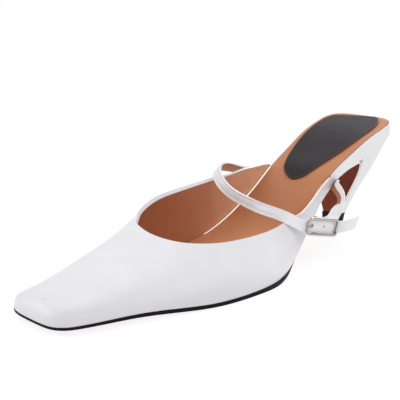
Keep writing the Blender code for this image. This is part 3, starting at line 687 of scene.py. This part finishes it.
piece("heel_pad_leather", body, (CHARCOAL, BINDING), ["heel_pad"])

# %% [markdown]
# ## Heel
# The heel is a slanted block with white leather stretched round it, so its corners are soft and its
# top runs up under the wrapped footbed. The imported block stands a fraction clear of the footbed. Its
# top is raised to close that, its front shoulder is drawn forward to where the cover meets the
# waist, and only a hair's breadth is rolled along the top, so no shadow opens there.

# %% Heel
COVER_ROLL, SEAT_ROLL = 0.5, 0.06
HEEL_UP = 0.3
SHOULDER_DEPTH, SHOULDER_BACK, SHOULDER_UP = 1.0 * MM, -1.6, -0.5
body = copy_of("heel")
heel_top = points_of(face for face in body.faces if face.normal.z > 0.7)
shift(body, heel_top, 0.0, 0.0, HEEL_UP)
front = min(vertex.co.y for vertex in heel_top)
shoulder = [vertex for vertex in heel_top if vertex.co.y < front + SHOULDER_DEPTH]
shift(body, shoulder, 0.0, SHOULDER_BACK, SHOULDER_UP)
roll(body, [edge for edge in sharp_edges(body) if not set(edge.verts) <= heel_top], COVER_ROLL)
body.normal_update()
roll(body, sharp_edges(body), SEAT_ROLL)
print("heel's front at", round(front / MM, 2), "mm, shoulder points", len(shoulder))
piece("heel_cover", body, (HEEL_WHITE,), ["heel"])

# %% [markdown]
# ## Top lift
# The heel stands on a small block of black rubber, cut square and nailed on. Its edges are worn just
# enough to catch a line of light, so they are rolled and nothing more.

# %% Top lift
body = copy_of("top_lift")
roll(body, sharp_edges(body), 0.3)
print("top lift")
piece("rubber_top_lift", body, (RUBBER,), ["top_lift"])

# %% [markdown]
# ## Outsole
# The sole is one thin sheet of leather that also runs down the heel's front. Its edge stands a little
# proud of the upper on the outer side, which gives the thin black line under the shoe, and the flap
# in front of the heel is as wide as its cover. The rim that is glued to the upper is raised, to close
# the gap. What is walked on is red-brown. The edge is inked black up to the waist and cream behind.

# %% Outsole
WALKED, INKED, CREAM = 0, 1, 2
INK_ENDS = 56 * MM
PROUD, PROUD_GROWS, PROUD_FADES = 0.7 * MM, (-30 * MM, -10 * MM), (52 * MM, 37 * MM)
OUTER_SIDE = 10 * MM
GLUED_UP = 0.25
SIDEWAYS = 0.6
FLAP_BEHIND, FLAP_ABOVE = 80 * MM, 9 * MM
body = copy_of("outsole")
for vertex in body.verts:
    share = ramp(vertex.co.y, *PROUD_GROWS) * ramp(vertex.co.y, *PROUD_FADES)
    if vertex.co.x > OUTER_SIDE:
        vertex.co.x += PROUD * share
    if vertex.co.y > FLAP_BEHIND and vertex.co.z > FLAP_ABOVE:
        vertex.co.x += math.copysign(PROUD, vertex.co.x)
glued = points_of(face for face in body.faces if face.normal.z > 0.5 and along(face) < INK_ENDS)
shift(body, glued, 0.0, 0.0, GLUED_UP)
roll(body, sharp_edges(body), 0.2)
body.normal_update()
for face in body.faces:
    walked_on = face.normal.z < -0.5 or face.normal.y < -0.5 and along(face) > 0.0
    edge_finish = INKED if along(face) < INK_ENDS else CREAM
    face.material_index = WALKED if walked_on and abs(face.normal.x) < SIDEWAYS else edge_finish
print("glued rim points", len(glued))
piece("leather_outsole", body, (SOLE, BLACK_EDGE, EDGE), ["outsole"])

# %% [markdown]
# ## How a strap is made
# Each strap is white leather over a tan lining, its cut edges painted. A groove runs just inside the
# edges, pressed in by the seam that holds the two layers together. A dark painted line would vanish
# from low angles, so the groove is real: three narrow rings are set into the white face, flat, down
# and up again.

# %% Strap helpers
def grooved(body, faces, edge, width, depth):
    """Presses a groove of this width and depth into a panel, this far in from its edge."""
    for inwards, down in ((edge, 0.0), (width, -depth), (width, depth)):
        bmesh.ops.inset_region(
            body, faces=faces, thickness=inwards * MM, depth=down * MM, use_even_offset=True
        )


def strap_of(node):
    """The strap's copy and its patches, its white face, tan face and cut edges told apart."""
    body = copy_of(node)
    groups = patches(body)
    print(node, "patches", [len(group) for group in groups[:6]])
    for material, faces in ((CUT, body.faces), (WHITE_SIDE, groups[0]), (TAN_SIDE, groups[1])):
        paint(faces, material)
    return body, groups


print("strap helpers: grooved, strap_of")

# %% [markdown]
# ## Instep strap
# The long strap crosses the instep, passes through the buckle and ends in a slanted tail. In the
# buckle it fills the frame, so its lower edge is moved down there. The edge is told apart by its
# distance from the strap's own slope, since the strap isn't level there. The long lower edge keeps the
# warm paint. The upper edge, the ends and the walls of the punched holes are white like the face. The
# groove ends before the buckle, where the layers lie flat.

# %% Instep strap
FRAME_MARGIN = 1 * MM
OUTER_REACH, GROOVE_REACH = 24 * MM, 26 * MM
LOWER_EDGE, LOWER_EDGE_UP = -1.5 * MM, -0.6
GROOVE_IN, GROOVE_WIDTH, GROOVE_DEPTH = 0.9, 0.28, 0.22
body, (white_side, tan_side, *cuts) = strap_of("instep_strap")
frame_low, frame_high = (Vector(corner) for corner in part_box("buckle_frame"))
window = [
    v for v in body.verts
    if frame_low.y - FRAME_MARGIN < v.co.y < frame_high.y + FRAME_MARGIN and v.co.x > OUTER_REACH
]
centre_y = sum(v.co.y for v in window) / len(window)
centre_z = sum(v.co.z for v in window) / len(window)
rise = sum((v.co.y - centre_y) * (v.co.z - centre_z) for v in window)
slope = rise / sum((v.co.y - centre_y) ** 2 for v in window)
lower = [v for v in window if v.co.z - centre_z - slope * (v.co.y - centre_y) < LOWER_EDGE]
shift(body, lower, 0.0, 0.0, LOWER_EDGE_UP)
for white_cut in cuts[1:]:
    paint(white_cut, WHITE_SIDE)
before_buckle = [face for face in white_side if face.calc_center_median().x < GROOVE_REACH]
grooved(body, before_buckle, GROOVE_IN, GROOVE_WIDTH, GROOVE_DEPTH)
roll(body, sharp_edges(body, 60), 0.2)
print("strap in the frame", len(window), "lower edge", len(lower), "slope", round(slope, 3))
piece("instep_strap_leather", body, (STRAP_WHITE, STRAP_LINING, EDGE), ["instep_strap"])

# %% [markdown]
# ## Buckle strap
# The short strap comes out under the waist and folds round the buckle's centre bar. Only its first
# stretch has a tan lining. Further on both faces are white, because the leather is turned back on
# itself. The change is a straight cut across the strap, so the lining is split by a plane there.

# %% Buckle strap
LINING_ENDS, ACROSS_STRAP = Vector((0.0177, 0.0581, 0.0354)), Vector((0.06, -0.583, 0.81))
LINED_ABOVE = 27.5 * MM
body, groups = strap_of("buckle_strap")
lined = [face for face in body.faces if face.material_index == TAN_SIDE]
split = lined + list({edge for face in lined for edge in face.edges}) + list(points_of(lined))
bmesh.ops.bisect_plane(body, geom=split, plane_co=LINING_ENDS, plane_no=ACROSS_STRAP)
lined = [face for face in body.faces if face.material_index == TAN_SIDE]
for face in lined:
    middle = face.calc_center_median()
    if (middle - LINING_ENDS).dot(ACROSS_STRAP) > 0.0 or middle.z < LINED_ABOVE:
        face.material_index = WHITE_SIDE
roll(body, sharp_edges(body), 0.15)
print("lining faces after the cut", len(lined))
piece("buckle_strap_leather", body, (STRAP_WHITE, STRAP_LINING, EDGE), ["buckle_strap"])

# %% [markdown]
# ## Buckle
# The frame is one loop of nickel wire with a centre bar, and the prong hooks on the bar and comes up
# through a hole. The frame's edges are round in the imported solid already, so only the prong's are
# rolled. The faces that look into the frame take the darker nickel, painted shade inside the frame.

# %% Buckle
POLISHED, SHADED_FACE = 0, 1
FACES_INWARD = 0.55
body = copy_of("buckle_frame")
centre = (frame_low + frame_high) / 2
# Faces that look into the frame get the nickel with painted shade.
for face in body.faces:
    inwards = (centre - face.calc_center_median()).normalized()
    face.material_index = SHADED_FACE if face.normal.dot(inwards) > FACES_INWARD else POLISHED
print("dull faces", sum(face.material_index == SHADED_FACE for face in body.faces))
piece("nickel_buckle", body, (NICKEL, SHADED_NICKEL), ["buckle_frame"])
body = copy_of("buckle_prong")
roll(body, sharp_edges(body), 0.12)
piece("nickel_prong", body, (NICKEL,), ["buckle_prong"])

# %% [markdown]
# ## Floor
# The shoe stands on a wide sheet of white paper with a barely visible tooth. Lit by the panels alone,
# the paper would be grey and its shadows heavy. So it also shines a little by itself, as a sheet does
# that is lit from below, and only a faint shadow is left under the shoe.

# %% Floor
FLOOR_HALF = 8.0
PAPER_SHINE = 0.86
PAPER_DARK, PAPER_LIGHT = (0.17, 0.17, 0.17), (0.19, 0.19, 0.19)
body = bmesh.new()
bmesh.ops.create_grid(body, x_segments=4, y_segments=4, size=FLOOR_HALF)
mesh = bpy.data.meshes.new("floor")
body.to_mesh(mesh)
body.free()
paper = Finish(
    "pale_paper", Specular_IOR_Level=0.2, Emission_Color=(1.0, 1.0, 1.0, 1.0), Emission_Strength=PAPER_SHINE
)
tooth = paper.noise(3.0, 3.0)
colour = paper.mix(tooth, PAPER_DARK, PAPER_LIGHT)
mesh.materials.append(paper.wear(Base_Color=colour, Roughness=0.7 + tooth * 0.1))
floor = bpy.data.objects.new("floor", mesh)
bpy.context.scene.collection.objects.link(floor)
print("floor", floor.dimensions)
